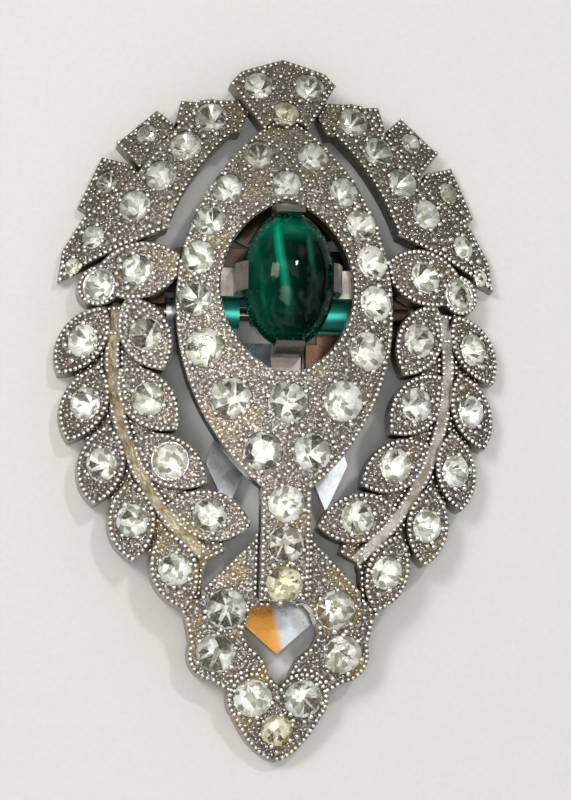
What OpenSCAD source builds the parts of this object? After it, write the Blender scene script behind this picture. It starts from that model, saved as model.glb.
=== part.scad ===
// Openwork dress-clip brooch with an oval green cabochon.
// It lies face up: +Z is the front, +Y the finial end, z = 0 the plane that its rim rests on.

/* [Domes] */
// Crosswise radius of the outer dome that carries crown, wings, sprays, bow and drop
outer_across = 38; // [36:1:42]
// Crosswise radius of the raised dome that carries the centre frame and finial
inner_across = 24; // [22:1:28]
// Lengthwise radius of both domes
dome_along = 100; // [95:1:115]
// Height of the outer dome's crest
outer_crest = 9.6; // [9.4:0.1:10]
// Height of the raised dome's crest
inner_crest = 11.4; // [11.2:0.1:12]
// Place of both crests along the length
crest_y = 2; // [0:0.5:4]
// Thickness of the castings below the outer web
cast_depth = 2.4; // [2.2:0.1:2.6]
// Height of the leaves and bands above the web
relief = 0.5; // [0.3:0.1:0.6]

/* [Centre frame] */
// Half width of the frame
frame_half_w = 11.2; // [11:0.1:11.4]
// Half length of the frame's pointed oval
frame_half_l = 20.5; // [20.2:0.1:20.8]
// Middle of the pointed oval along the length
frame_y = 9.5; // [9.3:0.1:9.7]
// Half width of the window that holds the cabochon
window_half_w = 6.8; // [6.6:0.1:7]
// Half length of the window
window_half_l = 9.2; // [9:0.1:9.4]
// Middle of the window along the length
window_y = 11.3; // [11.2:0.1:11.5]
// Width of the stem below the frame
stem_w = 5; // [4.8:0.1:5.2]
// Lower end of the stem
stem_end_y = -20.4; // [-20.6:0.1:-20.2]

/* [Cabochon] */
// Width of the cabochon
cab_w = 9.5; // [9.3:0.1:9.8]
// Length of the cabochon
cab_l = 14; // [13.8:0.1:14.2]
// Height of the cabochon's dome
cab_h = 3.8; // [3.4:0.1:4.2]
// Middle of the cabochon along the length
cab_y = 12; // [11.8:0.1:12.2]
// Height of the cabochon's girdle
cab_z = 11; // [10.8:0.1:11.2]

/* [Sprays] */
// Radius of the vein that the leaves grow from
vein_r = 26.4; // [26.2:0.1:26.6]
// Middle of the vein's arc, across
vein_cx = -9; // [-9.1:0.1:-8.9]
// Middle of the vein's arc, along
vein_cy = 4.5; // [4.3:0.1:4.7]
// Width of the vein
vein_w = 1.5; // [1.2:0.1:1.8]
// Angle between a leaf and the vein
leaf_turn = 31; // [28:1:34]

/* [Clip] */
// Length of the hinge pin
pin_l = 26.8; // [26.4:0.1:27]
// Radius of the hinge pin
pin_r = 0.8; // [0.7:0.05:0.9]
// Radius of the flap's rolled barrel
barrel_r = 1.7; // [1.65:0.05:1.75]
// Place of the hinge along the length
hinge_y = 9.8; // [9.6:0.1:10]
// Height of the hinge pin
hinge_z = 2.6; // [2.55:0.05:2.65]
// Thickness of the flap
flap_t = 0.8; // [0.7:0.05:0.9]
// Tip of the flap along the length
flap_tip_y = -25.5; // [-26:0.1:-25]
// Slant of the flap, which closes the jaw towards its tip
flap_slant = 2; // [1.5:0.1:2.2]
// Slant of the finger lever behind the hinge
lever_slant = 12; // [8:1:13]
// Length of the finger lever from the hinge
lever_l = 4; // [3.5:0.1:4.2]
// Running clearance of the flap's barrel on its pin
pin_gap = 0.04; // [0.02:0.01:0.08]

/* [Hidden] */

SILVER = "silver";
PASTE = "lightyellow";
SKY = 20;              // taller than anything in the model
ROUND = 240;           // facets of the domes
finial_lift = 0.4;     // finial above the raised dome
bow_lift = 0.3;        // bow and drop above the outer dome
vein_lift = 0.3;       // veins of the sprays above the outer dome
seat_gap = 0.03;       // clearance of a stone in its seat
stone_sink = 0.1;      // depth of a stone's girdle below the metal
cab_girdle = 0.2;      // part of the cabochon below its widest line, of its height
cab_base = cab_z - cab_girdle * cab_h;
strap_w = 2.9;         // width of the setting's straps and prongs
strap_t = 0.8;         // thickness of the straps
strap_z = cab_z - 2.9; // underside of the straps

sheet_z = 0.05 - barrel_r; // underside of the flap's sheet below the pin's axis
barrel_start = 4.2;    // inner end of each half of the flap's barrel
barrel_end = 11.8;     // outer end of the flap's barrel
lever_w = 14;          // width of the finger lever
tooth_x = 1.6;         // teeth of the flap, across
tooth_run = 5.6;       // the teeth's distance from the flap's tip
pad_w = 3;             // width of the gripping pad on the flap's tongue
pad_l = 9;             // length of the pad
pad_y = -26;           // lower end of the pad from the hinge
pad_t = 0.15;          // height of the pad
ear_x = 12.7;          // middle of an ear of the clip's base
ear_t = 1.4;           // thickness of an ear
ear_r = 1.5;           // outer radius of an ear
plate_rise = 0.75;     // underside of the clip's plate above the pin's axis
plate_t = 0.6;         // thickness of the clip's plate
plate_half = 13.4;     // half width of the plate
plate_end = 6.6;       // far edge of the plate behind the hinge
head_half = 7.4;       // half width of the plate's head behind the window's end
head_start = 8.7;      // widest place of the head behind the hinge
head_end = 12.4;       // far edge of the head behind the hinge
post_x = 8.9;          // riveted posts that join the plate to the frame, across
post_run = 3.1;        // the posts' place behind the hinge
post_r = 0.8;          // radius of the posts
post_h = 3.9;          // length of the posts

// Stones: [x, y, diameter], right half and middle line.
ring_mid_r = 19.3;
ring_mid_x = -9.95;
ring_mid_y = 11;
ring_angles = [48.5, 34, 22.5, 10.5, -2.5, -18, -35.5];
ring_sizes = [3.2, 3.2, 3.4, 3.6, 3.7, 4.1, 4.3];
ring_stones = [
    for (i = [0 : 6])
        concat(
            [ring_mid_x, ring_mid_y] + ring_mid_r * [cos(ring_angles[i]), sin(ring_angles[i])],
            ring_sizes[i]
        )
];
pair_stones = [[2.5, -5.6, 4]];
middle_stones = [[0, 22.3, 3.1], [0, -0.6, 4.2]];
stem_list = [for (i = [0 : 2]) [0, -10.8 - 4 * i, 3.8]];
finial_pairs = [[2.7, 33.2, 3.2]];
finial_middle = [[0, 30, 2.9]];
crown_start = [7.5, 30];
crown_end = [15.3, 20.4];
crown_row = [
    for (i = [0 : 3])
        [crown_start.x + (crown_end.x - crown_start.x) * i / 3,
         crown_start.y + (crown_end.y - crown_start.y) * i / 3, 3.4]
];
crown_extra = [[14, 28.4, 2.3], [18.1, 23.3, 2.4], [19.5, 17.3, 2.6], [21.5, 14.3, 1.9]];
wing_list = [[15, 13.5, 3.5], [18.8, 12, 3.1]];
outer_offset = 3.1;    // outer stones from the vein's middle line
inner_offset = -3.1;   // inner stones from the vein's middle line
outer_angles = [for (i = [0 : 4]) 3.6 - 12.8 * i];
inner_angles = [for (i = [0 : 3]) 5.5 - 16.7 * i];
outer_stones = [for (a = outer_angles) concat(on_vein(a, outer_offset), 3.5)];
inner_stones = [for (a = inner_angles) concat(on_vein(a, inner_offset), 3.6)];
bow_pairs = [[5.6, -21.2, 4.2], [6.5, -25.6, 4.1]];
drop_pairs = [[2.6, -30.1, 4]];
drop_middle = [[0, -33.3, 3.4]];

// Spring's coil and its path: [x, y, z, angle that the wire's section faces]
coil_r = 1.2;
wire_r = 0.22;
coil_turns = 9;
coil_steps = 14;
coil_pitch = 0.62;
coil_count = coil_turns * coil_steps;
coil_end = coil_turns * coil_pitch / 2;
leg_rise = plate_rise - wire_r;
foot_z = sheet_z + flap_t + wire_r + 0.1;
coil_path = concat(
    [[-coil_end, 5.2, leg_rise, 180], [-coil_end, 1.6, -coil_r + 0.3, 180]],
    [
        for (i = [0 : coil_count])
            let (a = 180 + i * 360 / coil_steps)
            [(i / coil_steps - coil_turns / 2) * coil_pitch, coil_r * sin(a), coil_r * cos(a), a]
    ],
    [[coil_end, -3, foot_z, 180], [coil_end, -6, foot_z + 0.1, 180]]
);

function on_vein(angle, offset) =
    [vein_cx + (vein_r + offset) * cos(angle), vein_cy + (vein_r + offset) * sin(angle)];

// ---- the two domes: rings of circular section, cut from above ----

module dome(across, crest, lift) {
    translate([0, crest_y, crest - dome_along])
        rotate([0, 90, 0])
            rotate_extrude($fn = ROUND)
                translate([dome_along - across, 0])
                    circle(across + lift, $fn = ROUND);
}

// Radius from the dome's lengthwise axis, slope along the length and height at [x, y]
function dome_rho(x, across, lift) = dome_along - across + sqrt(pow(across + lift, 2) - x * x);
function dome_pitch(p, across, lift) = asin((p.y - crest_y) / dome_rho(p.x, across, lift));
function dome_z(p, across, crest, lift) =
    crest - dome_along + dome_rho(p.x, across, lift) * cos(dome_pitch(p, across, lift));

module on_dome(p, across, crest, lift) {
    translate([p.x, p.y, dome_z(p, across, crest, lift)])
        rotate([-dome_pitch(p, across, lift), 0, 0])
            rotate([0, asin(p.x / (across + lift)), 0])
                children();
}

module on_outer(p, lift = 0) {
    on_dome(p, outer_across, outer_crest, lift) children();
}

module on_inner(p, lift = 0) {
    on_dome(p, inner_across, inner_crest, lift) children();
}

// Prism over an outline, with its top on the outer dome
module outer_layer(lift) {
    intersection() {
        linear_extrude(SKY) children();
        dome(outer_across, outer_crest, lift);
    }
}

module hollow_outer() {
    difference() {
        children();
        dome(outer_across, outer_crest, -cast_depth);
    }
}

// ---- stones and their seats ----

module stone(d) {
    translate([0, 0, -stone_sink])
        rotate_extrude($fn = 48)
            polygon([
                [0, -0.45 * d], [d / 2, -0.05], [d / 2, 0.05], [0.3 * d, 0.2 * d], [0, 0.2 * d]
            ]);
}

module seat(d) {
    translate([0, 0, -stone_sink])
        rotate_extrude($fn = 48)
            polygon([
                [0, -0.45 * d - seat_gap], [d / 2 + seat_gap, -0.05], [d / 2 + seat_gap, 1.5], [0, 1.5]
            ]);
}

module outer_stones_of(list, lift) {
    for (s = list)
        on_outer(s, lift) stone(s[2]);
}

module outer_seats_of(list, lift) {
    for (s = list)
        on_outer(s, lift) seat(s[2]);
}

module inner_stones_of(list, lift = 0) {
    for (s = list)
        on_inner(s, lift) stone(s[2]);
}

module inner_seats_of(list, lift = 0) {
    for (s = list)
        on_inner(s, lift) seat(s[2]);
}

module both_sides() {
    children();
    mirror([1, 0, 0]) children();
}

// ---- outlines ----

// Pointed oval along Y
module lens(half_w, half_l) {
    r = (half_w * half_w + half_l * half_l) / (2 * half_w);
    intersection() {
        translate([half_w - r, 0]) circle(r, $fn = 180);
        translate([r - half_w, 0]) circle(r, $fn = 180);
    }
}

// Bar with round ends between two points
module strip(p, q, w) {
    along = q - p;
    translate(p)
        rotate(atan2(along.y, along.x))
            translate([0, -w / 2])
                square([norm(along), w]);
    translate(p) circle(w / 2, $fn = 48);
    translate(q) circle(w / 2, $fn = 48);
}

module window_outline() {
    intersection() {
        translate([0, window_y]) lens(window_half_w, window_half_l);
        translate([-10, 2.6]) square([20, 30]);
    }
}

module frame_plan() {
    translate([0, frame_y]) lens(frame_half_w, frame_half_l);
    translate([-stem_w / 2, stem_end_y]) square([stem_w, 12]);
}

module finial_plan() {
    polygon([
        [-2.2, 28], [-5.5, 33.5], [-4.4, 34.8], [-2.2, 35.5], [0, 36.2],
        [2.2, 35.5], [4.4, 34.8], [5.5, 33.5], [2.2, 28]
    ]);
}

module wing_plan() {
    translate([14.9, 13.4]) rotate(80) lens(3, 4.7);
    translate([18.8, 12]) circle(2.15, $fn = 48);
}

// Crescent left open between the frame and the crown
module crown_gap() {
    intersection() {
        translate([0, frame_y]) lens(frame_half_w + 2.1, frame_half_l + 2.1);
        translate([0, frame_y]) square([30, 18.6]);
    }
}

module crown_band() {
    difference() {
        union() {
            strip(crown_start, crown_end, 4);
            polygon([[3, 31.8], [8.5, 31.9], [12, 22], [11, 17], [5, 27]]);
            polygon([
                [12, 22], [11, 19], [11.6, 17.8], [16.6, 16], [22.9, 12.9], [22.5, 16], [20.4, 19.5], [17, 22]
            ]);
        }
        crown_gap();
    }
}

module crown_tabs() {
    polygon([[7, 31.6], [10.4, 32], [11, 29.6], [9.5, 27.5]]);
    polygon([[11.3, 29.5], [12.9, 31], [17, 27.5], [14.6, 24.6], [11, 27]]);
    polygon([[15.4, 25], [18.5, 26.1], [20.9, 20.8], [18.4, 19.2], [14, 22]]);
}

module leaf_plan(angle, offset, turn, half_w, half_l) {
    translate(on_vein(angle, offset))
        rotate(angle + turn)
            lens(half_w, half_l);
}

module leaves() {
    for (a = outer_angles)
        leaf_plan(a, outer_offset, leaf_turn, 2.35, 4.1);
    for (a = inner_angles)
        leaf_plan(a, inner_offset, -leaf_turn, 2.5, 4.3);
}

module vein_plan() {
    intersection() {
        difference() {
            translate([vein_cx, vein_cy]) circle(vein_r + vein_w / 2, $fn = 180);
            translate([vein_cx, vein_cy]) circle(vein_r - vein_w / 2, $fn = 180);
        }
        polygon([[vein_cx, vein_cy], [30, 8.5], [30, -30], [10.3, -18.5]]);
    }
}

module spray_web() {
    for (i = [0 : 3])
        strip(on_vein(outer_angles[i], 1.6), on_vein(outer_angles[i + 1], 1.6), 4.4);
    for (i = [0 : 2])
        strip(on_vein(inner_angles[i], -1), on_vein(inner_angles[i + 1], -1), 3.6);
    polygon([[12.6, 6.5], [13.2, 9.8], [18.4, 9.8], [19.6, 6.5]]);
    polygon([[6.6, -13], [14, -14], [10.6, -20.2], [8.2, -20.2], [7.9, -16.4], [5.8, -15.4]]);
}

// Half of the heart-shaped opening between the stem and the drop
heart_edge = [[2.5, -20.6], [3.2, -21.3], [3.7, -22.8], [3.8, -23.7], [3.3, -24.7], [1.8, -26], [1.3, -27]];

module bow_plan() {
    difference() {
        union() {
            strip([5.6, -21.2], [6.5, -25.6], 5.6);
            polygon([
                [2.5, -13.7], [9.9, -21], [8.5, -27.4], [4.4, -29.8], [0.3, -29.2], [0.3, -20.4], [2.5, -20.4]
            ]);
        }
        polygon(concat([[-1, -20]], heart_edge, [[0.4, -29.5], [-1, -29.5]]));
    }
}

module drop_plan() {
    lobe = [2.5, -30.1];
    lobe_r = 2.7;
    flank = [[4.6, -31.75], [3.9, -33], [3.05, -34.3], [2, -35.4], [0.95, -36.15]];
    translate([-lobe.x, lobe.y]) circle(lobe_r, $fn = 48);
    translate(lobe) circle(lobe_r, $fn = 48);
    both_sides() polygon(concat([[-0.1, lobe.y], [1.5, lobe.y]], flank, [[-0.1, -36.4]]));
}

// ---- castings ----

module centre_frame() {
    color(SILVER)
        difference() {
            intersection() {
                linear_extrude(SKY) difference() {
                    frame_plan();
                    window_outline();
                }
                dome(inner_across, inner_crest, 0);
            }
            dome(inner_across, inner_crest, -cast_depth);
            both_sides() inner_seats_of(concat(ring_stones, pair_stones));
            inner_seats_of(concat(middle_stones, stem_list));
            inner_seats_of(finial_middle, finial_lift);
        }
}

module finial() {
    color(SILVER)
        difference() {
            intersection() {
                linear_extrude(SKY) difference() {
                    finial_plan();
                    frame_plan();
                }
                dome(inner_across, inner_crest, finial_lift);
            }
            dome(inner_across, inner_crest, -cast_depth);
            both_sides() inner_seats_of(finial_pairs, finial_lift);
            inner_seats_of(finial_middle, finial_lift);
        }
}

module crown_clear() {
    difference() {
        children();
        frame_plan();
        finial_plan();
        wing_plan();
    }
}

module crown_right() {
    color(SILVER)
        hollow_outer() difference() {
            union() {
                outer_layer(relief) crown_clear() crown_band();
                outer_layer(0) crown_clear() crown_tabs();
            }
            outer_seats_of(crown_row, relief);
            outer_seats_of([crown_extra[0], crown_extra[1]], 0);
            outer_seats_of([crown_extra[2], crown_extra[3]], relief);
        }
}

module crown_left() {
    mirror([1, 0, 0]) crown_right();
}

module wing_right() {
    color(SILVER)
        hollow_outer() difference() {
            outer_layer(relief) difference() {
                wing_plan();
                frame_plan();
            }
            outer_seats_of(wing_list, relief);
        }
}

module wing_left() {
    mirror([1, 0, 0]) wing_right();
}

module spray_clear() {
    difference() {
        children();
        frame_plan();
        wing_plan();
        crown_band();
    }
}

module spray_right() {
    color(SILVER)
        hollow_outer() difference() {
            union() {
                outer_layer(0) spray_clear() spray_web();
                outer_layer(relief) spray_clear() leaves();
                outer_layer(vein_lift) spray_clear() vein_plan();
            }
            outer_seats_of(concat(outer_stones, inner_stones), relief);
        }
}

module spray_left() {
    mirror([1, 0, 0]) spray_right();
}

module bow_right() {
    color(SILVER)
        hollow_outer() difference() {
            outer_layer(bow_lift) difference() {
                bow_plan();
                frame_plan();
                leaves();
                spray_web();
                drop_plan();
            }
            outer_seats_of(bow_pairs, bow_lift);
        }
}

module bow_left() {
    mirror([1, 0, 0]) bow_right();
}

module drop() {
    color(SILVER)
        hollow_outer() difference() {
            outer_layer(bow_lift) drop_plan();
            both_sides() outer_seats_of(drop_pairs, bow_lift);
            outer_seats_of(drop_middle, bow_lift);
        }
}

// ---- cabochon ----

module oval(w, l) {
    scale([w / 2, l / 2]) circle(1, $fn = 120);
}

// Flat prong that leans in over the edge of the stone, at the given reach from the middle
module prong(reach) {
    rotate([90, 0, 0])
        linear_extrude(strap_w, center = true)
            polygon([
                [reach, strap_z], [reach + 0.6, strap_z], [reach + 0.6, cab_z + 0.6],
                [reach, cab_z + 1.9], [reach - 0.5, cab_z + 2.3], [reach - 0.65, cab_z + 1.95],
                [reach, cab_z + 0.6]
            ]);
}

// Cross of flat straps inside the window, whose ends turn up as the prongs
module strap_plan() {
    intersection() {
        union() {
            translate([-window_half_w, cab_y - strap_w / 2]) square([2 * window_half_w, strap_w]);
            translate([-strap_w / 2, 0]) square([strap_w, window_y + window_half_l]);
        }
        window_outline();
    }
}

module cabochon_setting() {
    color("gainsboro") {
        translate([0, 0, strap_z]) linear_extrude(strap_t) strap_plan();
        translate([0, cab_y, 0]) difference() {
            union() {
                translate([0, 0, strap_z]) linear_extrude(cab_base - strap_z) oval(cab_w - 1.2, cab_l - 1.2);
                for (turn = [0, 180]) rotate(turn) prong(cab_w / 2 + 0.1);
                for (turn = [90, 270]) rotate(turn) prong(cab_l / 2 + 0.1);
            }
            translate([0, 0, strap_z - 1]) linear_extrude(4) oval(cab_w - 4.4, cab_l - 4.4);
        }
    }
}

// Ellipsoid cut flat a little below its widest line
module cabochon_solid() {
    hull()
        translate([0, 0, cab_z])
            scale([cab_w / 2, cab_l / 2, cab_h])
                intersection() {
                    sphere(1, $fn = 72);
                    translate([-2, -2, -cab_girdle]) cube([4, 4, 4]);
                }
}

module cabochon() {
    color("darkgreen")
        translate([0, cab_y, 0]) cabochon_solid();
}

// ---- stones ----

module frame_stones() {
    color(PASTE) {
        both_sides() inner_stones_of(concat(ring_stones, pair_stones));
        inner_stones_of(middle_stones);
    }
}

module stem_stones() {
    color(PASTE) inner_stones_of(stem_list);
}

module finial_stones() {
    color(PASTE) {
        both_sides() inner_stones_of(finial_pairs, finial_lift);
        inner_stones_of(finial_middle, finial_lift);
    }
}

module crown_stones_right() {
    color(PASTE) {
        outer_stones_of(crown_row, relief);
        outer_stones_of([crown_extra[0], crown_extra[1]], 0);
        outer_stones_of([crown_extra[2], crown_extra[3]], relief);
    }
}

module crown_stones_left() {
    mirror([1, 0, 0]) crown_stones_right();
}

module wing_stones_right() {
    color(PASTE) outer_stones_of(wing_list, relief);
}

module wing_stones_left() {
    mirror([1, 0, 0]) wing_stones_right();
}

module spray_stones_right() {
    color(PASTE) outer_stones_of(concat(outer_stones, inner_stones), relief);
}

module spray_stones_left() {
    mirror([1, 0, 0]) spray_stones_right();
}

module bow_stones() {
    color(PASTE) both_sides() outer_stones_of(bow_pairs, bow_lift);
}

module drop_stones() {
    color(PASTE) {
        both_sides() outer_stones_of(drop_pairs, bow_lift);
        outer_stones_of(drop_middle, bow_lift);
    }
}

// ---- spring clip on the back ----

module at_hinge() {
    translate([0, hinge_y, hinge_z]) children();
}

module rod_x(r, from, to) {
    translate([from, 0, 0]) rotate([0, 90, 0]) cylinder(r = r, h = to - from, $fn = 48);
}

module hinge_pin() {
    color("silver") at_hinge() rod_x(pin_r, -pin_l / 2, pin_l / 2);
}

// Plate under the castings behind the hinge, with an ear on each end that holds the pin
module clip_base() {
    color("gainsboro")
        at_hinge() difference() {
            union() {
                translate([0, 0, plate_rise])
                    linear_extrude(plate_t)
                        polygon([
                            [-plate_half, 1.9], [-plate_half, 3.4], [-10.8, plate_end], [-3, plate_end],
                            [-head_half, head_start], [-6.2, head_end], [6.2, head_end],
                            [head_half, head_start], [3, plate_end], [10.8, plate_end],
                            [plate_half, 3.4], [plate_half, 1.9]
                        ]);
                for (side = [-1, 1]) {
                    translate([side * ear_x - ear_t / 2, 0, -1]) cube([ear_t, 2.6, plate_rise + plate_t + 1]);
                    rod_x(ear_r, side * ear_x - ear_t / 2, side * ear_x + ear_t / 2);
                }
            }
            rod_x(pin_r, -pin_l, pin_l);
            for (side = [-1, 1])
                translate([side * post_x, post_run, 0])
                    cylinder(r = post_r, h = 3, $fn = 32);
        }
}

module clip_rivets() {
    color("silver")
        for (side = [-1, 1]) translate([side * post_x, hinge_y + post_run, hinge_z + plate_rise]) {
            translate([0, 0, -0.25]) cylinder(r = post_r + 0.4, h = 0.25, $fn = 32);
            cylinder(r = post_r, h = post_h, $fn = 32);
        }
}

// Flap: a shield with a side claw each way and a middle tongue that ends in the heart-shaped opening
flap_edge = [
    [barrel_end - 0.2, 0], [barrel_end - 0.2, -2.6], [9, -6.4], [5.2, -9.2],
    [7.4, -15.6], [5.1, -20.5], [3.6, -16.8], [1.8, -16.4], [1.8, -27], [4.2, -31.6]
];

module flap_plan() {
    last = len(flap_edge) - 1;
    polygon(concat(
        flap_edge,
        [[0, flap_tip_y - hinge_y]],
        [for (i = [last : -1 : 0]) [-flap_edge[i].x, flap_edge[i].y]]
    ));
}

module flap_sheet() {
    translate([0, 0, sheet_z])
        linear_extrude(flap_t)
            children();
}

module clip_flap() {
    color("gainsboro")
        at_hinge() difference() {
            union() {
                rotate([-flap_slant, 0, 0]) {
                    flap_sheet() flap_plan();
                    translate([-pad_w / 2, pad_y, sheet_z + flap_t]) cube([pad_w, pad_l, pad_t]);
                    for (side = [-1, 1])
                        translate([side * tooth_x, flap_tip_y - hinge_y + tooth_run, sheet_z + flap_t / 2])
                            cylinder(r1 = 0.7, r2 = 0.15, h = flap_t / 2 + 0.7, $fn = 24);
                }
                both_sides() rod_x(barrel_r, barrel_start, barrel_end);
                rotate([-lever_slant, 0, 0])
                    flap_sheet() translate([-lever_w / 2, 0]) square([lever_w, lever_l]);
            }
            rod_x(pin_r + pin_gap, -pin_l, pin_l);
            rod_x(barrel_r + 0.4, -barrel_start, barrel_start);
            translate([-barrel_start, -3, -barrel_r - 1]) cube([2 * barrel_start, 3, barrel_r + 1]);
        }
}

// Spring: coil round the pin with one leg under the plate and one on the flap
function coil_out(a) = [0, sin(a), cos(a)];

module clip_spring() {
    sides = 8;
    rings = len(coil_path);
    points = [
        for (e = coil_path) for (k = [0 : sides - 1])
            let (turn = k * 360 / sides)
            [e[0], e[1], e[2]] + wire_r * (cos(turn) * coil_out(e[3]) + sin(turn) * [1, 0, 0])
    ];
    walls = [
        for (i = [0 : rings - 2]) for (k = [0 : sides - 1])
            let (n = (k + 1) % sides)
            [i * sides + k, i * sides + n, (i + 1) * sides + n, (i + 1) * sides + k]
    ];
    first = [for (k = [sides - 1 : -1 : 0]) k];
    last = [for (k = [0 : sides - 1]) (rings - 1) * sides + k];
    color("dimgray") at_hinge() polyhedron(points, concat(walls, [first, last]));
}

centre_frame();
finial();
crown_left();
crown_right();
wing_left();
wing_right();
spray_left();
spray_right();
bow_left();
bow_right();
drop();
cabochon_setting();
cabochon();
frame_stones();
stem_stones();
finial_stones();
crown_stones_left();
crown_stones_right();
wing_stones_left();
wing_stones_right();
spray_stones_left();
spray_stones_right();
bow_stones();
drop_stones();
clip_base();
clip_rivets();
hinge_pin();
clip_flap();
clip_spring();
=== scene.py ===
"""Looks of the openwork clip brooch: pastes, milgrain, grains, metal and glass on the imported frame."""
import math
import random

import bpy
import bmesh
from mathutils import Matrix, Vector
from mathutils.bvhtree import BVHTree


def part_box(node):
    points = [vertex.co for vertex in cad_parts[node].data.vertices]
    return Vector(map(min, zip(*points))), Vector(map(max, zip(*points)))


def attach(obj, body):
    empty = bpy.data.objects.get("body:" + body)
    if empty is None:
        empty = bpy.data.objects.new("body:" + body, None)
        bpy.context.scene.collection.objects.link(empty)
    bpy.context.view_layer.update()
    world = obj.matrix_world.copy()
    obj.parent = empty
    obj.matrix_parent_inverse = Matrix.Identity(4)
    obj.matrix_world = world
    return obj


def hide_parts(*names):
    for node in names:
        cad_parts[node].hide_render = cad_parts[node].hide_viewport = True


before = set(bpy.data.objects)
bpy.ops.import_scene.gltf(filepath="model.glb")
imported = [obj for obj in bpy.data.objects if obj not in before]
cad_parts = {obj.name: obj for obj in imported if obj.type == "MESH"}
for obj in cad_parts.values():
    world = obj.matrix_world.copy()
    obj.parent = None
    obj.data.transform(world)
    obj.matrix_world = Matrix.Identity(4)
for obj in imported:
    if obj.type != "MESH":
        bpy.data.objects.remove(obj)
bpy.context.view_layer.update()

MM = 0.001
CASTINGS = [
    "centre_frame", "finial", "crown_left", "crown_right", "wing_left", "wing_right",
    "spray_left", "spray_right", "bow_left", "bow_right", "drop",
]
STONE_HOSTS = {
    "frame_stones": "centre_frame", "stem_stones": "centre_frame", "finial_stones": "finial",
    "crown_stones_left": "crown_left", "crown_stones_right": "crown_right",
    "wing_stones_left": "wing_left", "wing_stones_right": "wing_right",
    "spray_stones_left": "spray_left", "spray_stones_right": "spray_right",
    "bow_stones": "bow_left", "drop_stones": "drop",
}

# ---- camera, floor and light ----

CAMERA_DISTANCE = 300 * MM
CAMERA_AZIMUTH = math.radians(-42.5)
CAMERA_ELEVATION = math.radians(79.3)
CAMERA_ROLL = math.radians(0.3)
CAMERA_TARGET = Vector((0.15 * MM, 0.1 * MM, 8 * MM))
CAMERA_LENS = 132.5
CAMERA_CLIP_START = 0.01
LIGHT_TARGET = Vector((0, 0, 0.005))
FLOOR_HALF = 0.6


def add_camera():
    ca, sa = math.cos(CAMERA_AZIMUTH), math.sin(CAMERA_AZIMUTH)
    ce, se = math.cos(CAMERA_ELEVATION), math.sin(CAMERA_ELEVATION)
    back = Vector((sa * ce, -ca * ce, se))
    right = Vector((0, 1, 0)).cross(back).normalized()
    up = back.cross(right)
    cr, sr = math.cos(CAMERA_ROLL), math.sin(CAMERA_ROLL)
    right, up = right * cr + up * sr, up * cr - right * sr
    data = bpy.data.cameras.new("camera")
    data.lens = CAMERA_LENS
    data.clip_start = CAMERA_CLIP_START
    camera = bpy.data.objects.new("camera", data)
    camera.matrix_world = Matrix.Translation(CAMERA_TARGET + back * CAMERA_DISTANCE) @ Matrix(
        (right, up, back)
    ).transposed().to_4x4()
    bpy.context.scene.collection.objects.link(camera)
    bpy.context.scene.camera = camera


def add_area(name, place, size, power, colour):
    data = bpy.data.lights.new(name, "AREA")
    data.shape = "DISK"
    data.size = size
    data.energy = power
    data.color = colour
    lamp = bpy.data.objects.new(name, data)
    lamp.location = place
    lamp.rotation_euler = (LIGHT_TARGET - Vector(place)).to_track_quat("-Z", "Y").to_euler()
    bpy.context.scene.collection.objects.link(lamp)


def add_light():
    add_world()
    add_area("window", (-0.26, 0.14, 0.50), 0.16, 1.1, (1.0, 0.96, 0.91))
    add_area("lamp", (0.12, 0.18, 0.46), 0.035, 0.45, (1.0, 0.97, 0.94))
    add_area("front", (-0.08, -0.09, 0.50), 0.20, 0.65, (1.0, 0.97, 0.93))
    add_area("fill", (0.40, -0.10, 0.35), 0.25, 0.10, (0.93, 0.96, 1.0))
    bpy.context.scene.view_settings.view_transform = "Standard"


def add_world():
    """A pale room for the camera, an even dim one for soft light, and a patchy one for reflections."""
    world = bpy.data.worlds.new("studio")
    bpy.context.scene.world = world
    world.use_nodes = True
    nodes, links = world.node_tree.nodes, world.node_tree.links

    def blend(factor, a, b):
        node = nodes.new("ShaderNodeMix")
        node.data_type = "RGBA"
        links.new(factor, node.inputs["Factor"])
        for source, socket in ((a, node.inputs["A"]), (b, node.inputs["B"])):
            if isinstance(source, tuple):
                socket.default_value = (*source, 1)
            else:
                links.new(source, socket)
        return node.outputs["Result"]

    place = nodes.new("ShaderNodeTexCoord")
    split = nodes.new("ShaderNodeSeparateXYZ")
    patches = nodes.new("ShaderNodeTexNoise")
    patches.inputs["Scale"].default_value = 5.0
    patches.inputs["Detail"].default_value = 1.0
    cut = nodes.new("ShaderNodeMapRange")
    cut.inputs["From Min"].default_value = 0.52
    cut.inputs["From Max"].default_value = 0.58
    path = nodes.new("ShaderNodeLightPath")
    links.new(place.outputs["Generated"], split.inputs[0])
    links.new(place.outputs["Generated"], patches.inputs["Vector"])
    links.new(patches.outputs["Fac"], cut.inputs["Value"])
    shade = blend(split.outputs["Z"], (0.03, 0.028, 0.026), (0.26, 0.25, 0.235))
    glow = blend(split.outputs["Z"], (0.3, 0.29, 0.275), (2.3, 2.23, 2.12))
    patchy = blend(cut.outputs["Result"], shade, glow)
    soft = blend(path.outputs["Is Diffuse Ray"], patchy, (0.24, 0.235, 0.23))
    seen = blend(path.outputs["Is Camera Ray"], soft, (0.72, 0.71, 0.71))
    links.new(seen, nodes["Background"].inputs["Color"])


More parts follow.
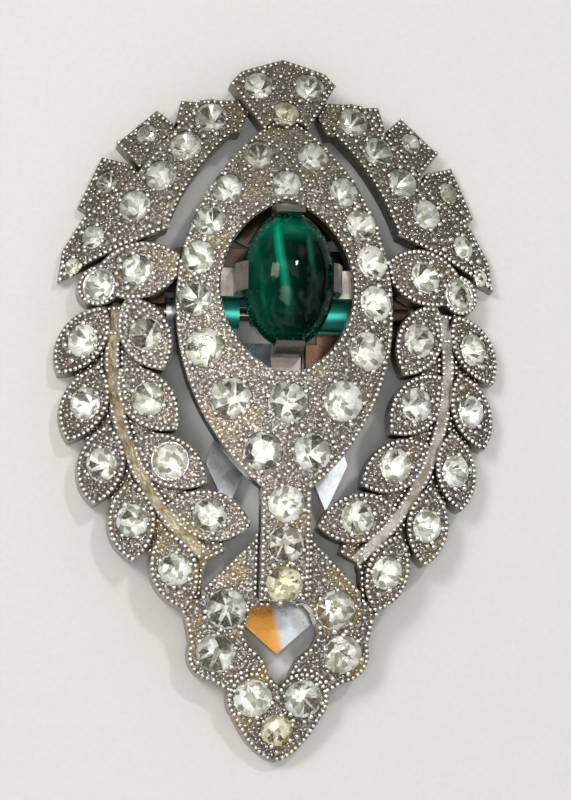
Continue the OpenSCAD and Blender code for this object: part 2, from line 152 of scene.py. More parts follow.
def add_floor():
    mesh = bpy.data.meshes.new("floor")
    corners = [(x * FLOOR_HALF, y * FLOOR_HALF, 0) for x, y in ((-1, -1), (1, -1), (1, 1), (-1, 1))]
    mesh.from_pydata(corners, [], [(0, 1, 2, 3)])
    floor = bpy.data.objects.new("floor", mesh)
    bpy.context.scene.collection.objects.link(floor)
    shader = Shader("paper")
    grain = shader.noise(1800, 3)
    shader.set_colour(shader.ramp(grain, [(0.3, (0.74, 0.735, 0.73)), (0.7, (0.77, 0.765, 0.76))]))
    shader.value("Roughness", 0.8)
    mesh.materials.append(shader.material)


# ---- materials ----

CABOCHON_Y, CABOCHON_HALF = 12 * MM, (4.75 * MM, 7 * MM)
VEIN_X, VEIN_Y, VEIN_R, VEIN_HALF_W = -9 * MM, 4.5 * MM, 26.4 * MM, 0.75 * MM
BARREL_Y = 9.7 * MM
PASTE_IOR, CABOCHON_IOR = 1.62, 1.2
STAIN = (0.36, 0.25, 0.06)
# Colour of the painted shade towards the crown
CROWN_SHADE = (0.10, 0.095, 0.06)


class Shader:
    """A material on the principled shader, with small helpers for its texture nodes."""

    def __init__(self, name):
        self.material = bpy.data.materials.new(name)
        self.material.use_nodes = True
        self.nodes = self.material.node_tree.nodes
        self.links = self.material.node_tree.links
        self.shader = self.nodes["Principled BSDF"]
        self.place = self.nodes.new("ShaderNodeTexCoord").outputs["Object"]

    def value(self, socket, number):
        self.shader.inputs[socket].default_value = number

    def link(self, output, socket):
        self.links.new(output, self.shader.inputs[socket])

    def set_colour(self, output):
        self.link(output, "Base Color")

    def noise(self, scale, detail=2, roughness=0.5):
        node = self.nodes.new("ShaderNodeTexNoise")
        node.inputs["Scale"].default_value = scale
        node.inputs["Detail"].default_value = detail
        node.inputs["Roughness"].default_value = roughness
        self.links.new(self.place, node.inputs["Vector"])
        return node.outputs["Fac"]

    def cells(self, scale):
        node = self.nodes.new("ShaderNodeTexVoronoi")
        node.inputs["Scale"].default_value = scale
        self.links.new(self.place, node.inputs["Vector"])
        return node.outputs["Color"]

    def ramp(self, factor, stops):
        node = self.nodes.new("ShaderNodeValToRGB")
        ramp = node.color_ramp
        while len(ramp.elements) < len(stops):
            ramp.elements.new(0.5)
        for element, (place, colour) in zip(ramp.elements, stops):
            element.position = place
            element.color = (*colour, 1)
        self.links.new(factor, node.inputs["Fac"])
        return node.outputs["Color"]

    def level(self, factor, low, high, start=0.0, end=1.0):
        """Maps a factor from start..end to low..high."""
        node = self.nodes.new("ShaderNodeMapRange")
        for socket, number in zip(("From Min", "From Max", "To Min", "To Max"), (start, end, low, high)):
            node.inputs[socket].default_value = number
        self.links.new(factor, node.inputs["Value"])
        return node.outputs["Result"]

    def mix(self, factor, a, b):
        node = self.nodes.new("ShaderNodeMix")
        node.data_type = "RGBA"
        self.plug(factor, node.inputs["Factor"])
        self.plug(a, node.inputs["A"])
        self.plug(b, node.inputs["B"])
        return node.outputs["Result"]

    def plug(self, source, socket):
        if isinstance(source, tuple):
            socket.default_value = (*source, 1)
        elif isinstance(source, float):
            socket.default_value = source
        else:
            self.links.new(source, socket)

    def math(self, operation, a, b):
        node = self.nodes.new("ShaderNodeMath")
        node.operation = operation
        self.plug(a, node.inputs[0])
        self.plug(b, node.inputs[1])
        return node.outputs["Value"]

    def product(self, a, b):
        return self.math("MULTIPLY", a, b)

    def gap(self, a, b):
        """How far a is from b."""
        return self.math("ABSOLUTE", self.math("SUBTRACT", a, b), 0.0)

    def facing_up(self):
        split = self.nodes.new("ShaderNodeSeparateXYZ")
        self.links.new(self.nodes.new("ShaderNodeNewGeometry").outputs["Normal"], split.inputs[0])
        return split.outputs["Z"]

    def axis(self, letter):
        split = self.nodes.new("ShaderNodeSeparateXYZ")
        self.links.new(self.place, split.inputs[0])
        return split.outputs[letter]

    def vein_mask(self):
        """1 on the smooth vein of either spray, 0 elsewhere."""
        run = self.math("SUBTRACT", self.math("ABSOLUTE", self.axis("X"), 0.0), VEIN_X)
        rise = self.math("SUBTRACT", self.axis("Y"), VEIN_Y)
        square = self.math("ADD", self.product(run, run), self.product(rise, rise))
        off_line = self.gap(self.math("SQRT", square, 0.0), VEIN_R)
        return self.level(off_line, 1.0, 0.0, VEIN_HALF_W * 0.62, VEIN_HALF_W * 0.85)

    def shelter(self, distance):
        """1 in the open, falling to 0 in crevices."""
        node = self.nodes.new("ShaderNodeAmbientOcclusion")
        node.samples = 8
        node.inputs["Distance"].default_value = distance
        return node.outputs["AO"]

    def shade_towards_crown(self, colour):
        """Painted shade: dulls a colour towards the crown, darker and a little olive there."""
        reach = self.level(self.axis("Y"), 0.0, 0.42, 15 * MM, 25 * MM)
        return self.mix(reach, colour, CROWN_SHADE)

    def bump(self, height, strength, distance):
        node = self.nodes.new("ShaderNodeBump")
        node.inputs["Strength"].default_value = strength
        node.inputs["Distance"].default_value = distance
        self.links.new(height, node.inputs["Height"])
        self.link(node.outputs["Normal"], "Normal")


def antiqued_silver(name, bright, dark, crevice, vein=None):
    """Plated metal: dark patina in its crevices, painted shade over its tops and painted light on its walls,
    lighter on a smooth vein.
    """
    shader = Shader(name)
    # Painted shade and light by facing: tops are kept darker, walls lighter.
    tops = shader.level(shader.facing_up(), 0.0, 1.0, 0.35, 0.8)
    open_air = shader.level(shader.shelter(crevice), 0.0, 1.0, 0.4, 0.95)
    worn = shader.level(shader.noise(3400, 3, 0.6), 0.0, 1.0, 0.47, 0.67)
    lit_by_facing = shader.math("SUBTRACT", 0.5, shader.product(tops, 0.36))
    lit_and_clean = shader.product(open_air, shader.math("MAXIMUM", worn, lit_by_facing))
    colour = shader.mix(lit_and_clean, dark, bright)
    patches = shader.level(shader.noise(260, 3), 0.0, 0.7, 0.5, 0.66)
    towards_tip = shader.level(shader.axis("Y"), 1.0, 0.25, -0.024, -0.010)
    colour = shader.mix(shader.product(patches, towards_tip), colour, STAIN)
    if vein:
        deep_vein = (vein[0] * 0.55, vein[1] * 0.5, vein[2] * 0.42)
        mottle = shader.level(shader.noise(500, 3), 0, 1, 0.4, 0.6)
        colour = shader.mix(shader.vein_mask(), colour, shader.mix(mottle, vein, deep_vein))
    shader.set_colour(shader.shade_towards_crown(colour))
    shader.link(shader.level(lit_and_clean, 0.5, 0.22), "Roughness")
    shader.value("Metallic", 1.0)
    shader.bump(shader.noise(2600, 4), 0.9, 0.13 * MM)
    return shader.material


def bead_silver(name, bright, warm):
    """The brighter metal of milgrain, prong beads and grains, with painted shade where they are sheltered."""
    shader = Shader(name)
    low = shader.level(shader.shelter(0.3 * MM), 0.0, 1.0, 0.25, 0.8)
    tone = shader.mix(shader.level(shader.noise(700, 3), 0.0, 1.0, 0.35, 0.65), bright, warm)
    # Painted shade: sheltered parts of each bead turn dark brown.
    shader.set_colour(shader.shade_towards_crown(shader.mix(low, (0.10, 0.07, 0.065), tone)))
    shader.link(shader.level(shader.noise(1800, 2), 0.1, 0.24), "Roughness")
    shader.value("Metallic", 1.0)
    shader.bump(shader.noise(5200, 2), 0.3, 0.05 * MM)
    return shader.material


def polished_metal(name, colour, stain, smooth=0.08):
    """Smooth metal with a soft haze. `smooth` is its least roughness."""
    shader = Shader(name)
    haze = shader.noise(600, 4)
    shader.set_colour(shader.mix(shader.level(haze, 0.0, 0.6, 0.42, 0.7), colour, stain))
    shader.link(shader.level(haze, smooth, smooth + 0.22, 0.35, 0.7), "Roughness")
    shader.value("Metallic", 1.0)
    shader.bump(shader.noise(2400, 2), 0.15, 0.03 * MM)
    return shader.material


def flap_metal(name):
    """Bright plate with a painted green reflection of the cabochon along its barrel, painted shade on the
    side under the window and amber on half of its tip.
    """
    shader = Shader(name)
    haze = shader.level(shader.noise(600, 4), 0.0, 0.6, 0.42, 0.7)
    colour = shader.mix(haze, (0.50, 0.55, 0.60), (0.22, 0.22, 0.22))
    # Painted shade: the side of the plate under the window turns dark brown.
    right = shader.level(shader.axis("X"), 0.0, 1.0, 0.5 * MM, 3 * MM)
    shaded_under_window = shader.product(right, shader.level(shader.axis("Y"), 0.0, 1.0, 0.0, 2 * MM))
    colour = shader.mix(shaded_under_window, colour, (0.08, 0.045, 0.03))
    # Painted reflection: green light from the cabochon along the barrel's crest.
    crest = shader.level(shader.gap(shader.axis("Y"), BARREL_Y), 1.0, 0.0, 1.5 * MM, 1.8 * MM)
    middle = shader.level(shader.math("ABSOLUTE", shader.axis("X"), 0.0), 1.0, 0.0, 7.4 * MM, 8.4 * MM)
    painted_green_reflection = shader.product(crest, middle)
    colour = shader.mix(painted_green_reflection, colour, (0.10, 0.80, 0.66))
    low = shader.level(shader.axis("Y"), 1.0, 0.0, -21 * MM, -19 * MM)
    slanted_x = shader.math("ADD", shader.axis("X"), shader.product(shader.axis("Y"), 0.2))
    left = shader.level(slanted_x, 1.0, 0.0, -4.8 * MM, -4.2 * MM)
    colour = shader.mix(shader.product(low, left), colour, (0.50, 0.24, 0.06))
    shader.set_colour(colour)
    roughness = shader.math("ADD", shader.level(haze, 0.24, 0.42), shader.product(painted_green_reflection, 0.18))
    shader.link(roughness, "Roughness")
    shader.value("Metallic", 1.0)
    shader.bump(shader.noise(2400, 2), 0.15, 0.03 * MM)
    return shader.material


def paste_glass(name):
    """The clear crown of a paste: it mirrors the room as glass does and shows the foiled facets below."""
    shader = Shader(name)
    fresnel = shader.nodes.new("ShaderNodeFresnel")
    fresnel.inputs["IOR"].default_value = PASTE_IOR
    tint = shader.nodes.new("ShaderNodeVertexColor")
    tint.layer_name = "tint"
    shader.set_colour(tint.outputs["Color"])
    shader.link(shader.math("ADD", fresnel.outputs["Fac"], 0.03), "Alpha")
    shader.link(shader.level(shader.noise(2500, 2), 0.02, 0.1, 0.4, 0.7), "Roughness")
    shader.value("Metallic", 1.0)
    return shader.material


def foil_back(name):
    """The foiled facets under a paste: painted highlights and shade in light and dark cells, with a painted
    glow of their own.
    """
    shader = Shader(name)
    tint = shader.nodes.new("ShaderNodeVertexColor")
    tint.layer_name = "tint"
    # Painted highlights and shade: facets as light and dark cells.
    stops = [(0.3, (0.16, 0.16, 0.12)), (0.45, (0.60, 0.60, 0.53)), (0.58, (1.0, 1.0, 1.0))]
    painted_facet_light = shader.mix(0.7, tint.outputs["Color"], shader.ramp(shader.cells(1500), stops))
    cloud = shader.level(shader.noise(900, 4), 0.5, 1.0, 0.3, 0.5)
    colour = shader.shade_towards_crown(shader.mix(cloud, (0.30, 0.30, 0.21), painted_facet_light))
    shader.set_colour(colour)
    # Painted glow: the foil gives off its own colour as light.
    shader.link(colour, "Emission Color")
    shader.value("Emission Strength", 0.34)
    shader.link(shader.level(shader.noise(1500, 3), 0.05, 0.25, 0.4, 0.65), "Roughness")
    shader.value("Metallic", 0.45)
    return shader.material


def green_glass(name):
    shader = Shader(name)
    swirl = shader.noise(90, 1)
    shader.set_colour(shader.mix(swirl, (0.0, 0.26, 0.19), (0.01, 0.36, 0.27)))
    shader.link(shader.level(shader.noise(300, 2), 0.01, 0.05, 0.4, 0.7), "Roughness")
    shader.value("IOR", CABOCHON_IOR)
    shader.value("Transmission Weight", 1.0)
    return shader.material


def painted_light_backing(name):
    """Dark green with painted reflections: pale streaks and a bright upper end that show through the
    cabochon, painted shade on its right and rim, and painted glints on the rim.
    """
    shader = Shader(name)
    slant = shader.product(shader.math("SUBTRACT", shader.axis("Y"), 14 * MM), 0.14)
    wander = shader.product(shader.math("SUBTRACT", shader.noise(160, 1), 0.5), 0.5 * MM)
    x = shader.math("ADD", shader.math("ADD", shader.axis("X"), slant), wander)

    def painted_streak(centre, half, low, high, strength):
        """A soft painted streak of reflected light round x = centre that grows from y = low to y = high, all
        in millimetres.
        """
        band = shader.level(shader.gap(x, centre * MM), 1.0, 0.0, 0.0, half * MM)
        reach = shader.level(shader.axis("Y"), 0.0, 1.0, low * MM, high * MM)
        return shader.product(shader.product(band, reach), strength)

    # Painted light: the bright upper end and the pale streaks of reflected light.
    light = shader.level(shader.axis("Y"), 0.0, 0.8, 15.8 * MM, 18.8 * MM)
    for line in (
        painted_streak(-0.5, 0.55, 8.6, 13.5, 1.0), painted_streak(2.2, 0.35, 11.0, 15.0, 0.25),
        painted_streak(-2.6, 0.4, 7.5, 10.0, 0.12),
    ):
        light = shader.math("MAXIMUM", light, line)
    # Painted shade: the right side of the cabochon turns darker.
    painted_shade_right = shader.level(shader.axis("X"), 0.0, 1.0, -4 * MM, 1.5 * MM)
    body = shader.mix(painted_shade_right, (0.01, 0.16, 0.12), (0.0, 0.02, 0.014))
    colour = shader.mix(light, body, (0.10, 0.95, 0.70))
    wide = shader.math("DIVIDE", shader.axis("X"), CABOCHON_HALF[0])
    long = shader.math("DIVIDE", shader.math("SUBTRACT", shader.axis("Y"), CABOCHON_Y), CABOCHON_HALF[1])
    out = shader.math("ADD", shader.product(wide, wide), shader.product(long, long))
    # Painted shade round the rim, with painted glints of light specks on it.
    shaded_rim = shader.level(out, 0.0, 1.0, 0.55, 0.78)
    rim_glints = shader.ramp(shader.noise(4200, 2), [(0.58, (0.0, 0.03, 0.022)), (0.66, (0.35, 0.75, 0.62))])
    shader.set_colour(shader.mix(shaded_rim, colour, rim_glints))
    shader.value("Roughness", 0.9)
    shader.value("Specular IOR Level", 0.0)
    return shader.material


# ---- reading the frame ----

WELD_DISTANCE = 0.002 * MM
GIRDLE_SHARE = 0.98  # of a stone's radius, from which a vertex counts as on its girdle


class Stone:
    """Where a stone sits: the middle of its girdle, its axis and its diameter."""

    def __init__(self, centre, axis, diameter):
        self.centre = centre
        self.axis = axis
        self.diameter = diameter


def welded(node):
    """A copy of a CAD node's mesh with its doubled vertices joined."""
    mesh = bmesh.new()
    mesh.from_mesh(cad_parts[node].data)
    bmesh.ops.remove_doubles(mesh, verts=mesh.verts, dist=WELD_DISTANCE)
    mesh.normal_update()
    return mesh


def islands(mesh):
    """The vertices of each loose part of a mesh."""
    seen = set()
    for start in mesh.verts:
        if start in seen:
            continue
        seen.add(start)
        stack, group = [start], []
        while stack:
            vertex = stack.pop()
            group.append(vertex)
            for edge in vertex.link_edges:
                other = edge.other_vert(vertex)
                if other not in seen:
                    seen.add(other)
                    stack.append(other)
        yield group


def stone_from(group):
    """Reads a stone off its solid: the table is its largest flat face, and the girdle its widest ring."""
    areas = {}
    for face in dict.fromkeys(f for v in group for f in v.link_faces):
        key = tuple(round(c, 2) for c in face.normal)
        area, normal = areas.get(key, (0.0, Vector()))
        areas[key] = (area + face.calc_area(), normal + face.normal * face.calc_area())
    axis = max(areas.values(), key=lambda item: item[0])[1].normalized()
    middle = sum((v.co for v in group), Vector()) / len(group)
    reach = [((v.co - middle) - axis * (v.co - middle).dot(axis)).length for v in group]
    radius = max(reach)
    heights = [(v.co - middle).dot(axis) for v, far in zip(group, reach) if far > GIRDLE_SHARE * radius]
    return Stone(middle + axis * (sum(heights) / len(heights)), axis, 2 * radius)


def stones_of(node):
    mesh = welded(node)
    found = [stone_from(group) for group in islands(mesh)]
    mesh.free()
    return found


# ---- building meshes from many small shapes ----


class Parts:
    """Collects vertices and faces of many small shapes for one mesh."""

    def __init__(self):
        self.points = []
        self.faces = []

    def add(self, points, faces):
        start = len(self.points)
        self.points.extend(points)
        self.faces.extend([tuple(start + i for i in face) for face in faces])

    def make(self, name, material, smooth=True):
        mesh = bpy.data.meshes.new(name)
        mesh.from_pydata(self.points, [], self.faces)
        mesh.materials.append(material)
        if smooth:
            mesh.polygons.foreach_set("use_smooth", [True] * len(mesh.polygons))
        piece = bpy.data.objects.new(name, mesh)
        bpy.context.scene.collection.objects.link(piece)
        return piece


def ball_template():
    mesh = bmesh.new()
    bmesh.ops.create_icosphere(mesh, subdivisions=2, radius=1)
    points = [v.co.copy() for v in mesh.verts]
    faces = [tuple(v.index for v in f.verts) for f in mesh.faces]
    mesh.free()
    return points, faces


BALL = ball_template()


def add_bead(parts, centre, radius):
    parts.add([centre + p * radius for p in BALL[0]], BALL[1])


# ---- pastes ----


def across(axis):
    """Two directions square to an axis."""
    first = Vector((0, 1, 0)).cross(axis).normalized()
    return first, axis.cross(first)


def brilliant(stone, spin, rng):
    """Points, crown faces and foiled faces of a round brilliant: table, stars, kites, girdle and pavilion."""
    u, v = across(stone.axis)
    d = stone.diameter
    culet_slip = (u * rng.uniform(-1, 1) + v * rng.uniform(-1, 1)) * 0.05 * d

    def ring(count, radius, height, turn):
        """Points about the axis: radius and height are parts of the diameter, turn is a part of a step."""
        angles = [spin + (k + turn) * math.tau / count for k in range(count)]
        return [
            stone.centre + (u * math.cos(a) + v * math.sin(a)) * radius * d + stone.axis * height * d
            for a in angles
        ]

    def jitter():
        """A small slip of a pavilion corner, so that no two stones break the light alike."""
        aside = (u * rng.uniform(-1, 1) + v * rng.uniform(-1, 1)) * 0.07 * d
        return aside + stone.axis * rng.uniform(-0.04, 0.1) * d

    points = (
        ring(8, 0.3, 0.2, 0) + ring(8, 0.405, 0.125, 0.5) + ring(16, 0.5, 0.012, 0)
        + ring(16, 0.5, -0.012, 0) + [p + jitter() for p in ring(8, 0.22, -0.27, 0.5)]
        + [stone.centre - stone.axis * 0.42 * d + culet_slip]
    )
    table, star, upper, lower, deep, culet = 0, 8, 16, 32, 48, 56
    crown = [tuple(range(8))]
    foil = []
    for k in range(8):
        n, p, g = (k + 1) % 8, (k - 1) % 8, 2 * k
        crown.append((table + n, table + k, star + k))
        crown.append((table + k, star + p, upper + g, star + k))
        crown.append((star + k, upper + g, upper + g + 1))
        crown.append((star + k, upper + g + 1, upper + (g + 2) % 16))
        foil.append((culet, deep + k, lower + g, deep + p))
        foil.append((deep + k, lower + g + 1, lower + g))
        foil.append((deep + k, lower + (g + 2) % 16, lower + g + 1))
    for k in range(16):
        n = (k + 1) % 16
        foil.append((upper + k, lower + k, lower + n, upper + n))
    return points, crown, foil


# How much light each of a brilliant's points takes: table and stars, girdle, deep ring, culet
RIM_SHADE = [1.0] * 16 + [0.42] * 32 + [1.0] * 8 + [0.55]
BLUE_FALL = 1.3  # a shaded point loses blue faster than red and green
TINTS = [
    (0.98, 0.99, 0.96), (0.97, 0.98, 0.90), (0.95, 0.98, 0.93), (0.98, 0.97, 0.93), (0.94, 0.96, 0.98),
]
YELLOWED = (0.94, 0.87, 0.48)
YELLOWED_PLACES = [(0, -18.8), (0, -33.3), (0, 30)]  # in millimetres


def tint_of(stone, rng):
    tint = rng.choice(TINTS)
    for x, y in YELLOWED_PLACES:
        if abs(stone.centre.x / MM - x) < 1 and abs(stone.centre.y / MM - y) < 1:
            tint = YELLOWED
    return tint


def set_stones(node, seed):
    """The cut stones that replace a node's plain ones: clear crowns over foiled pavilions."""
    rng = random.Random(seed)
    parts = Parts()
    foiled = []
    tints = []
    for stone in stones_of(node):
        points, crown, foil = brilliant(stone, rng.uniform(0, math.tau / 8), rng)
        parts.add(points, crown + foil)
        foiled += [0] * len(crown) + [1] * len(foil)
        tints += [tint_of(stone, rng)] * (len(crown) + len(foil))
    piece = parts.make(node + "_cut", PASTE, smooth=False)
    piece.data.materials.append(FOIL)
    piece.data.polygons.foreach_set("material_index", foiled)
    layer = piece.data.color_attributes.new("tint", "FLOAT_COLOR", "CORNER")
    for polygon in piece.data.polygons:
        for corner in polygon.loop_indices:
            shade = 1.0
            if foiled[polygon.index]:
                shade = RIM_SHADE[piece.data.loops[corner].vertex_index % len(RIM_SHADE)]
            falls = (shade, shade, shade ** BLUE_FALL)
            layer.data[corner].color = (*[c * fall for c, fall in zip(tints[polygon.index], falls)], 1)
    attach(piece, "root")
    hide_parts(node)


# ---- milgrain and grains on the castings ----

REPLACED_STONE = Vector((-10.5, -6.7, 7)) * MM
BEAD_R = 0.24 * MM
BEAD_PITCH = 0.6 * MM
BEAD_SIZES = (0.88, 1.08)
GRAIN_PASSES = [(1.6, (0.24, 0.42), 1.2), (14, (0.11, 0.19), 1.15)]  # tries per mm2, radii in mm, spacing
TOP_NORMAL = 0.55  # least z of the normal of a casting's top
WALL_NORMAL = 0.35  # most z, up or down, of the normal of its walls
DOWN = Vector((0, 0, -1))


def near_stone(point, stones, margin):
    """Whether a point is over a stone or within a margin of its rim."""
    for stone in stones:
        offset = point - stone.centre
        flat = offset - stone.axis * offset.dot(stone.axis)
        if flat.length < stone.diameter / 2 + margin and offset.length < stone.diameter:
            return True
    return False


def rim_edges(mesh, stones):
    """Edges where a top face meets an outside wall, each with its inward direction."""
    rims = []
    for edge in mesh.edges:
        if len(edge.link_faces) != 2:
            continue
        tops = [f for f in edge.link_faces if f.normal.z > TOP_NORMAL]
        walls = [f for f in edge.link_faces if abs(f.normal.z) < WALL_NORMAL]
        if len(tops) != 1 or len(walls) != 1:
            continue
        middle = (edge.verts[0].co + edge.verts[1].co) / 2
        if walls[0].normal.dot(middle - tops[0].calc_center_median()) < 0:
            continue
        if near_stone(middle, stones, 0.12 * MM):
            continue
        rims.append((edge, tops[0].normal.copy(), -walls[0].normal.copy()))
    return rims


def chains(rims):
    """Joins rim edges end to end into runs of (point, up, inward)."""
    at = {}
    for item in rims:
        for vertex in item[0].verts:
            at.setdefault(vertex, []).append(item)
    unused = {item[0] for item in rims}

    def walk(vertex, item):
        run = []
        while item and item[0] in unused:
            unused.discard(item[0])
            other = item[0].other_vert(vertex)
            run.append((vertex.co.copy(), item[1], item[2]))
            vertex = other
            item = next((i for i in at[vertex] if i[0] in unused), None)
            if item is None:
                run.append((vertex.co.copy(), run[-1][1], run[-1][2]))
        return run

    ends = [v for v, items in at.items() if len(items) != 2]
    runs = []
    for vertex in ends + list(at):
        for item in at[vertex]:
            if item[0] in unused:
                runs.append(walk(vertex, item))
    return [run for run in runs if len(run) > 1]


def along(run, pitch):
    """Points spaced evenly along a run, with their up and inward directions."""
    lengths = [(b[0] - a[0]).length for a, b in zip(run, run[1:])]
    total = sum(lengths)
    count = max(1, round(total / pitch))
    step = total / count
    target, walked = step / 2, 0.0
    for (a, b), length in zip(zip(run, run[1:]), lengths):
        while target <= walked + length + 1e-9 and length > 0:
            t = (target - walked) / length
            yield a[0].lerp(b[0], t), a[1], a[2]
            target += step
        walked += length


def vein_row(side, offset):
    """One milgrain row beside a spray's vein, in the plan, in millimetres."""
    start, sweep, steps = 14, 60, 80
    angles = [math.radians(start - sweep * i / steps) for i in range(steps + 1)]
    radius = VEIN_R / MM + offset
    return [
        (side * (VEIN_X / MM + radius * math.cos(a)), VEIN_Y / MM + radius * math.sin(a)) for a in angles
    ]


EXTRA_LINES = {
    "centre_frame": [
        [(-1.6, 2.2), (-3.4, -1.5), (-5.0, -5.2)],
        [(1.6, 2.2), (3.4, -1.5), (5.0, -5.2)],
        [(-2.6, 28.6), (-1.4, 26.9), (0.6, 24.9), (2.3, 22.4), (3.3, 20.3)],
    ],
    "spray_left": [vein_row(-1, 1.0), vein_row(-1, -1.0)],
    "spray_right": [vein_row(1, 1.0), vein_row(1, -1.0)],
}


def top_tree(mesh):
    """A search tree of a mesh, to drop points onto it."""
    copy = mesh.copy()
    bmesh.ops.triangulate(copy, faces=copy.faces[:])
    tree = BVHTree.FromBMesh(copy)
    copy.free()
    return tree


def path_beads(mesh, path, stones):
    """Bead places along a path in the plan, dropped onto a casting's top, clear of its stones."""
    tree = top_tree(mesh)
    run = [(Vector((x, y, 0)) * MM, None, None) for x, y in path]
    for spot, _, _ in along(run, BEAD_PITCH):
        point, normal, _, _ = tree.ray_cast(Vector((spot.x, spot.y, 20 * MM)), DOWN)
        if point is not None and normal.z > TOP_NORMAL and not near_stone(point, stones, 0.15 * MM):
            yield point + normal * BEAD_R * 0.1


def on_vein(node, point):
    if not node.startswith("spray"):
        return False
    away = math.hypot(abs(point.x) - VEIN_X, point.y - VEIN_Y)
    return abs(away - VEIN_R) < VEIN_HALF_W + 0.1 * MM


def milgrain(node, stones, seed):
    """Rows of beads along a casting's rims and its extra lines. Gives back where the beads are."""
    rng = random.Random(seed)
    mesh = welded(node)
    parts = Parts()
    placed = []
    for run in chains(rim_edges(mesh, stones)):
        for point, up, inward in along(run, BEAD_PITCH):
            centre = point + inward * BEAD_R * 1.05 + up * BEAD_R * 0.1
            if near_stone(centre, stones, 0.05 * MM):
                continue
            if any((centre - other).length < BEAD_PITCH * 0.72 for other in placed[-60:]):
                continue
            placed.append(centre)
            add_bead(parts, centre, BEAD_R * rng.uniform(*BEAD_SIZES))
    for path in EXTRA_LINES.get(node, ()):
        for point in path_beads(mesh, path, stones):
            if all((point - other).length > BEAD_PITCH * 0.8 for other in placed):
                placed.append(point)
                add_bead(parts, point, BEAD_R * rng.uniform(*BEAD_SIZES))
    mesh.free()
    if parts.points:
        piece = parts.make(node + "_milgrain", BEADS)
        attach(piece, "root")
    return placed


class Crowd:
    """Balls kept in square cells, to ask quickly whether another one has room."""

    CELL = 0.9 * MM

    def __init__(self):
        self.cells = {}

    def cell(self, point):
        return int(point.x // self.CELL), int(point.y // self.CELL)

    def add(self, point, radius):
        self.cells.setdefault(self.cell(point), []).append((point, radius))

    def has_room(self, point, radius, room):
        cx, cy = self.cell(point)
        for dx in (-1, 0, 1):
            for dy in (-1, 0, 1):
                for other, size in self.cells.get((cx + dx, cy + dy), ()):
                    if (point - other).length < (radius + size) * room:
                        return False
        return True


def grains(node, stones, taken, seed):
    """Round grains over a casting's top, clear of stones and milgrain: first large, then fine."""
    rng = random.Random(seed)
    mesh = welded(node)
    tree = top_tree(mesh)
    mesh.free()
    lo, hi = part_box(node)
    area = (hi.x - lo.x) * (hi.y - lo.y) / MM ** 2
    parts = Parts()
    crowd = Crowd()
    for point in taken:
        crowd.add(point, BEAD_R)
    for tries, radii, room in GRAIN_PASSES:
        for _ in range(int(area * tries)):
            spot = Vector((rng.uniform(lo.x, hi.x), rng.uniform(lo.y, hi.y), hi.z + MM))
            radius = rng.uniform(*radii) * MM
            point, normal, _, _ = tree.ray_cast(spot, DOWN)
            if point is None or normal.z < TOP_NORMAL or not crowd.has_room(point, radius, room):
                continue
            if near_stone(point, stones, radius * 0.7) or on_vein(node, point):
                continue
            crowd.add(point, radius)
            add_bead(parts, point - normal * radius * 0.15, radius)
    if parts.points:
        piece = parts.make(node + "_grains", GRAINS)
        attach(piece, "root")


def add_ring(parts, stone, radius, wire, rise):
    """A smooth round wire bezel about a stone."""
    u, v = across(stone.axis)
    spokes, sides = 48, 12
    points, faces = [], []
    for k in range(spokes):
        a = k * math.tau / spokes
        out = u * math.cos(a) + v * math.sin(a)
        for j in range(sides):
            b = j * math.tau / sides
            aside, above = radius + wire * math.cos(b), rise + wire * math.sin(b)
            points.append(stone.centre + out * aside + stone.axis * above)
    for k in range(spokes):
        for j in range(sides):
            n, m = (k + 1) % spokes, (j + 1) % sides
            faces.append((k * sides + j, n * sides + j, n * sides + m, k * sides + m))
    parts.add(points, faces)


def bezels():
    """Plain rings about the outer wing stones and about one replaced stone of the left spray."""
    parts = Parts()
    for side in ("left", "right"):
        outer = max(STONES["wing_stones_" + side], key=lambda s: abs(s.centre.x))
        add_ring(parts, outer, outer.diameter / 2 + 0.16 * MM, 0.2 * MM, 0.08 * MM)
    replaced = min(STONES["spray_stones_left"], key=lambda s: (s.centre - REPLACED_STONE).length)
    add_ring(parts, replaced, replaced.diameter / 2 + 0.1 * MM, 0.14 * MM, 0.08 * MM)
    piece = parts.make("bezel_rings", POLISHED)
    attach(piece, "root")


SMALL_STONE = 3.4 * MM


def set_beads(node, stones, seed):
    """Beads pushed over the rim of each stone: four on a small one and six on a large one."""
    rng = random.Random(seed)
    parts = Parts()
    for stone in stones:
        u, v = across(stone.axis)
        count = 4 if stone.diameter < SMALL_STONE else 6
        start = rng.uniform(0, math.tau)
        for k in range(count):
            angle = start + (k + rng.uniform(-0.15, 0.15)) * math.tau / count
            outward = u * math.cos(angle) + v * math.sin(angle)
            centre = stone.centre + outward * (stone.diameter / 2 + 0.02 * MM) + stone.axis * 0.12 * MM
            add_bead(parts, centre, rng.uniform(0.22, 0.32) * MM)
    piece = parts.make(node + "_prong_beads", BEADS)
    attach(piece, "root")


BACKING_FIT = 0.94
BACKING_LIFT, BACKING_DISH = 0.05, 0.12  # in millimetres


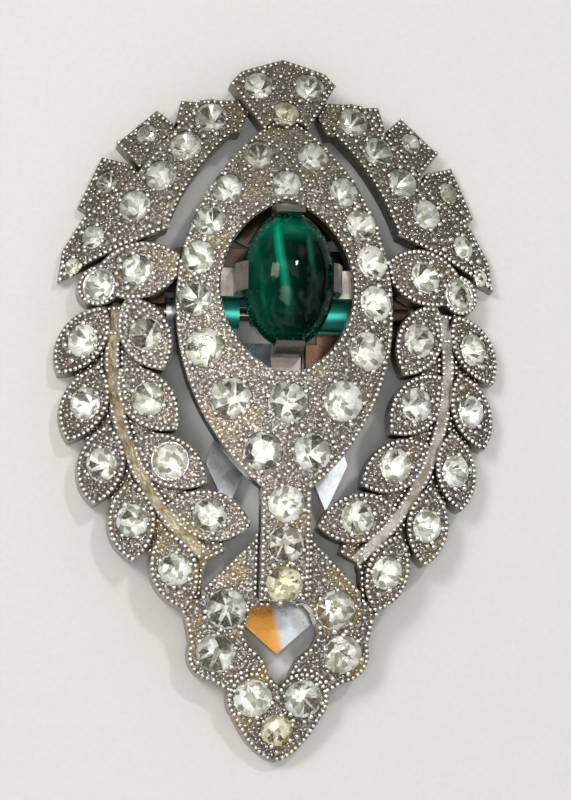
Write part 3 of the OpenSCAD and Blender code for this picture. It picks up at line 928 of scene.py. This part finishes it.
def back_cabochon():
    """A thin dished oval under the cabochon, just inside its flat base, carrying the painted streaks, glow
    and shade that show through the glass.
    """
    lo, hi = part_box("cabochon")
    middle = (lo + hi) / 2
    half_w, half_l = (hi.x - lo.x) / 2 * BACKING_FIT, (hi.y - lo.y) / 2 * BACKING_FIT
    rings, spokes = 8, 64
    parts = Parts()
    points = [Vector((middle.x, middle.y, lo.z + BACKING_LIFT * MM))]
    for r in range(1, rings + 1):
        for k in range(spokes):
            a = k * math.tau / spokes
            points.append(Vector((
                middle.x + half_w * r / rings * math.cos(a),
                middle.y + half_l * r / rings * math.sin(a),
                lo.z + (BACKING_LIFT + BACKING_DISH * (r / rings) ** 2) * MM,
            )))
    faces = [(0, 1 + k, 1 + (k + 1) % spokes) for k in range(spokes)]
    for r in range(rings - 1):
        for k in range(spokes):
            a, b = 1 + r * spokes + k, 1 + r * spokes + (k + 1) % spokes
            faces.append((a, a + spokes, b + spokes, b))
    parts.add(points, faces)
    piece = parts.make("cabochon_painted_light", PAINTED_LIGHT_BACKING)
    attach(piece, "root")


STONE_SEED, MILGRAIN_SEED, GRAIN_SEED, PRONG_SEED = 10, 100, 200, 300


def finish_casting(index, node):
    """Beads, milgrain and grains of one casting. The bows share one node of stones, split by side."""
    stones = [s for group, host in STONE_HOSTS.items() if host == node for s in STONES[group]]
    if node in ("bow_left", "bow_right"):
        side = -1 if node == "bow_left" else 1
        stones = [s for s in STONES["bow_stones"] if s.centre.x * side > 0]
    set_beads(node, stones, PRONG_SEED + index)
    taken = milgrain(node, stones, MILGRAIN_SEED + index)
    grains(node, stones, taken, GRAIN_SEED + index)


add_camera()
add_light()
add_floor()

SILVER_LOOK = ((0.60, 0.575, 0.535), (0.042, 0.034, 0.029), 0.7 * MM)  # bright, dark, crevice
SILVER = antiqued_silver("antiqued_silver", *SILVER_LOOK)
SILVER_TAN_VEIN = antiqued_silver("antiqued_silver_tan_vein", *SILVER_LOOK, (0.36, 0.32, 0.235))
SILVER_BRIGHT_VEIN = antiqued_silver("antiqued_silver_bright_vein", *SILVER_LOOK, (0.62, 0.61, 0.59))
BEADS = bead_silver("bead_silver", (0.93, 0.91, 0.90), (0.82, 0.80, 0.73))
GRAINS = bead_silver("grain_silver", (0.66, 0.63, 0.61), (0.54, 0.52, 0.45))
POLISHED = polished_metal("polished_plate", (0.70, 0.69, 0.68), (0.35, 0.33, 0.31))
SETTING = polished_metal("setting_metal", (0.26, 0.245, 0.225), (0.10, 0.085, 0.07), 0.3)
# Painted shade: the clip plate under the window is made nearly black.
SHADED_PLATE = polished_metal("clip_plate_painted_shade", (0.055, 0.04, 0.03), (0.03, 0.025, 0.02), 0.12)
FLAP = flap_metal("clip_flap_plate")
STEEL = polished_metal("spring_steel", (0.45, 0.44, 0.43), (0.25, 0.24, 0.23))
PASTE = paste_glass("paste")
FOIL = foil_back("foil")
GREEN = green_glass("emerald_glass")
PAINTED_LIGHT_BACKING = painted_light_backing("cabochon_painted_light")

STONES = {node: stones_of(node) for node in STONE_HOSTS}
for i, node in enumerate(STONE_HOSTS):
    set_stones(node, STONE_SEED + i)
for i, node in enumerate(CASTINGS):
    finish_casting(i, node)

bezels()
back_cabochon()

LOOKS = {
    "spray_left": SILVER_TAN_VEIN, "spray_right": SILVER_BRIGHT_VEIN, "cabochon_setting": SETTING,
    "clip_base": SHADED_PLATE, "clip_rivets": POLISHED, "hinge_pin": STEEL, "clip_flap": FLAP,
    "clip_spring": STEEL, "cabochon": GREEN,
}
for name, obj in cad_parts.items():
    if name not in STONE_HOSTS:
        obj.data.materials.clear()
        obj.data.materials.append(LOOKS.get(name, SILVER))
